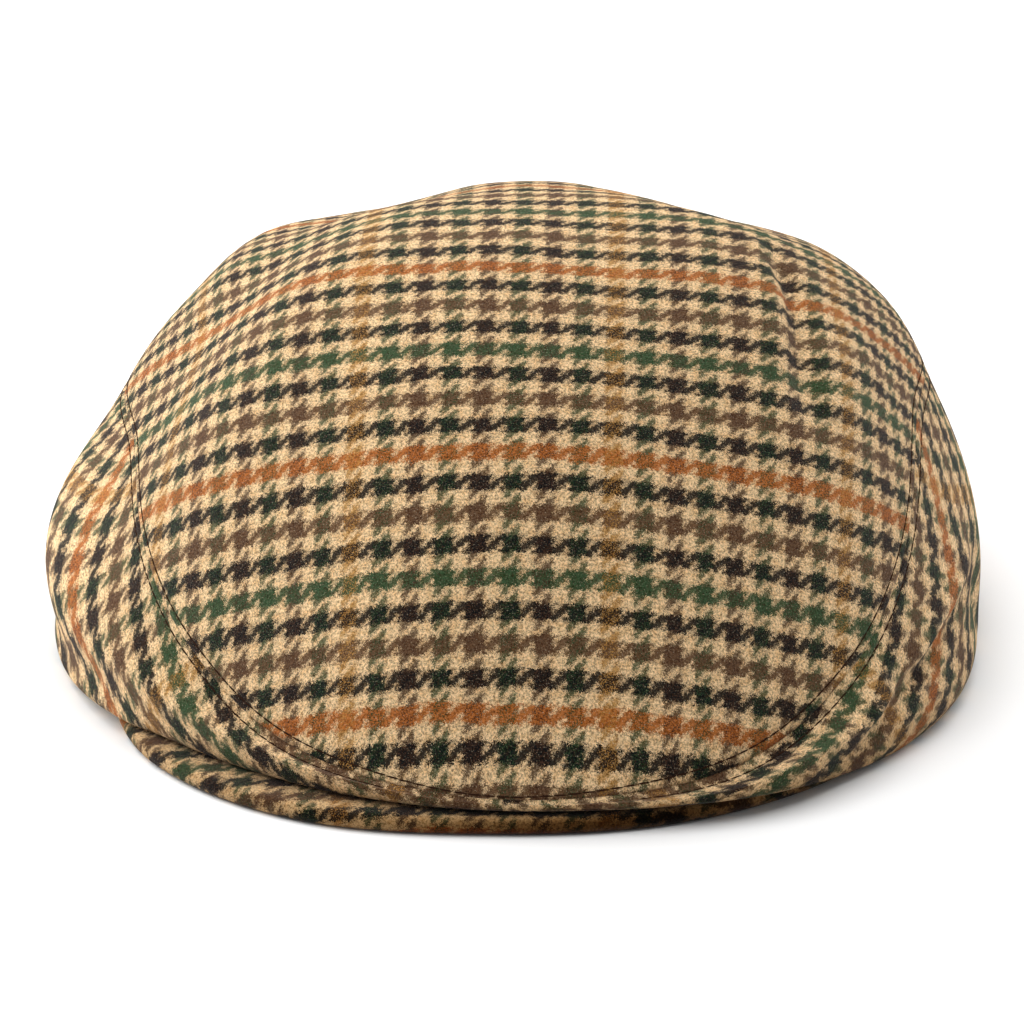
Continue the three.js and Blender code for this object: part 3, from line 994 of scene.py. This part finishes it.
# Round the section of the peak: top from the root to the rounded edge, then back below
def makePeak():
    bm = gridSheet(peak["along"], peak["across"])
    unit = unitPlaces(bm)
    heading = -peak["left"]["tip"] + (peak["left"]["tip"] + peak["right"]["tip"]) * unit[:, 0]
    thickness = underside(heading) - crown["pieceGap"]
    edge = peakReach(heading)
    narrow = np.where(heading < 0, smoothstep(-heading, peak["left"]["narrow"], peak["left"]["tip"]),
                      smoothstep(heading, peak["right"]["narrow"], peak["right"]["tip"]))
    root = around("rimReach", heading) * (1.0 - narrow) + (edge - peak["tipWidth"]) * narrow
    nose = thickness / 2
    row, face = unit[:, 1], peak["flatShare"]
    turn = np.clip((row - face) / (1.0 - 2 * face), 0.0, 1.0) * np.pi
    flat = np.minimum(row, 1.0 - row) / face
    noseRoot = edge - nose
    reach = np.where(flat < 1.0, root + (noseRoot - root) * flat, noseRoot + nose * np.sin(turn))
    height = nose + nose * np.cos(turn)
    shapeSheet(bm, placed(heading, reach, height))
    ends = [side for side in bm.edges if side.is_boundary]
    bmesh.ops.holes_fill(bm, edges=ends, sides=0)
    bmesh.ops.recalc_face_normals(bm, faces=bm.faces[:])
    laidReach = noseRoot + nose * turn + np.where(row > 1.0 - face, noseRoot - reach, 0.0)
    laidReach = np.where(row < face, reach, laidReach)
    laid = placed(heading, laidReach, 0.0)
    places = threadPlaces(laid[:, 0] / check["stripe"] + check["topWarpStart"],
                          (laid[:, 1] - check["peakWeftPlace"]) / check["stripe"] + check["peakWeftIndex"])
    # Painted shade: the peak's top face and nose are darkened in the colour, most near the middle, standing
    # in for the shade under the crown's fold
    middle = np.exp(-((heading - peak["paintedShadeHeading"]) / peak["paintedShadeSpread"]) ** 2)
    under = peak["paintedShadeTop"] + (1.0 - peak["paintedShadeTop"]) * smoothstep(turn / np.pi, 0.0, peak["paintedShadeRound"])
    shade = 1.0 - (peak["paintedShade"] + peak["paintedShadeMiddle"] * middle) * under
    piece = makePiece("peak_cover", bm, places, checkTweed, shade)
    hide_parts("peak")
    return piece


# Topstitching: short pressed-in stitches on both sides of the seam
def makeStitches():
    bm = bmesh.new()
    segments, rings = seam["stitchFaces"]
    count = int(seamLength[-1] / seam["stitchPitch"])
    heading = np.interp(np.arange(count) * seamLength[-1] / count, seamLength, seamHeadings)
    step = 0.2  # degrees either way along the seam
    for surface, smooth in ((topSurface, smoothTop), (sideSurface, smoothSide)):
        if surface is topSurface:
            share = 1.0 - stitchPlace(heading) / edgeSpan(heading)
        else:
            heading = heading[np.abs(turnFrom(heading, 0.0)) > seam["bareFront"]]
            share = np.full(len(heading), seam["searchStart"])
            for repeat in range(seam["searchRepeats"]):
                share *= stitchPlace(heading) / np.maximum(sideFromSeam(heading, share), 1e-4)
                share = np.clip(share, *seam["searchRange"])
        middle = surface(heading, share)
        tangent = surface(heading + step, share) - surface(heading - step, share)
        tangent /= np.linalg.norm(tangent, axis=1, keepdims=True)
        normal = unitNormals(smooth, heading, share)
        across = np.cross(normal, tangent)
        middle = middle + normal * seam["stitchLift"]
        for spot, run, side, out in zip(middle, tangent, across, normal):
            radius = seam["stitchRadius"]
            axes = Matrix((side * radius, out * radius, run * seam["stitchLength"] / 2)).transposed()
            place = Matrix.Translation(Vector(spot * mm)) @ (axes * mm).to_4x4()
            bmesh.ops.create_uvsphere(bm, u_segments=segments, v_segments=rings, radius=1.0, matrix=place)
    bmesh.ops.recalc_face_normals(bm, faces=bm.faces[:])
    return makePiece("topstitching", bm, None, stitchThread)


top = makeTop()
sideRight = makeSide("side_panel_right", "side_right", "right", 0.0)
sideLeft = makeSide("side_panel_left", "side_left", "left", 180.0)
peakCover = makePeak()
stitches = makeStitches()
print("cap made")

for piece in (top, sideRight, sideLeft, peakCover, stitches):
    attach(piece, "root")
for panel in (top, sideRight, sideLeft):
    flat, area = flatCut(panel)
    flat = bandSizes.get(panel.name, flat)
    print(panel.name, "flat cut", [round(size, 3) for size in flat], "area", round(area, 4))

studio = {
    "target": (-0.00033, -0.01075, 0.031),
    "elevation": 20.0,
    "yaw": 1.0,
    "distance": 0.85,
    "pixelsPerMetre": 4260.0,
    "imageWidth": 1024.0,
    "sensor": 36.0,
    "floorSize": 12.0,
    "floorColour": (0.9, 0.9, 0.9, 1.0),
    "floorRoughness": 0.9,
    "floorSpecular": 0.1,
    "worldStrength": 0.27,
    "lights": {  # place, width and power
        "overhead": ((-0.2, 0.25, 1.5), 2.4, 42.5),
        "leftKey": ((-1.5, 0.65, 0.55), 1.0, 28.5),
        "rightFill": ((1.3, 1.0, 0.6), 1.0, 9.0),
    },
}


def makeStudio():
    scene = bpy.context.scene
    scene.view_settings.view_transform = "Standard"
    target = Vector(studio["target"])
    yaw, elevation = math.radians(studio["yaw"]), math.radians(studio["elevation"])
    back = Vector((math.sin(yaw) * math.cos(elevation), -math.cos(yaw) * math.cos(elevation),
                   math.sin(elevation)))
    camera = bpy.data.objects.new("camera", bpy.data.cameras.new("camera"))
    camera.data.sensor_width = studio["sensor"]
    camera.data.lens = (studio["sensor"] * studio["pixelsPerMetre"] * studio["distance"]
                        / studio["imageWidth"])
    camera.location = target + back * studio["distance"]
    camera.rotation_euler = back.to_track_quat("Z", "Y").to_euler()
    bpy.context.collection.objects.link(camera)
    scene.camera = camera

    bm = bmesh.new()
    bmesh.ops.create_grid(bm, x_segments=1, y_segments=1, size=studio["floorSize"] / 2)
    mesh = bpy.data.meshes.new("floor")
    bm.to_mesh(mesh)
    bm.free()
    paper = bpy.data.materials.new("whitePaper")
    paper.use_nodes = True
    shader = paper.node_tree.nodes["Principled BSDF"]
    shader.inputs["Base Color"].default_value = studio["floorColour"]
    shader.inputs["Roughness"].default_value = studio["floorRoughness"]
    shader.inputs["Specular IOR Level"].default_value = studio["floorSpecular"]
    mesh.materials.append(paper)
    floor = bpy.data.objects.new("floor", mesh)
    bpy.context.collection.objects.link(floor)

    world = bpy.data.worlds.new("studio")
    world.use_nodes = True
    sky = world.node_tree.nodes["Background"]
    sky.inputs["Color"].default_value = white
    sky.inputs["Strength"].default_value = studio["worldStrength"]
    scene.world = world

    for name, (place, width, power) in studio["lights"].items():
        light = bpy.data.objects.new(name, bpy.data.lights.new(name, "AREA"))
        light.data.size = width
        light.data.energy = power
        light.location = Vector(place)
        light.rotation_euler = (Vector(place) - target).to_track_quat("Z", "Y").to_euler()
        bpy.context.collection.objects.link(light)


makeStudio()
print("studio made")
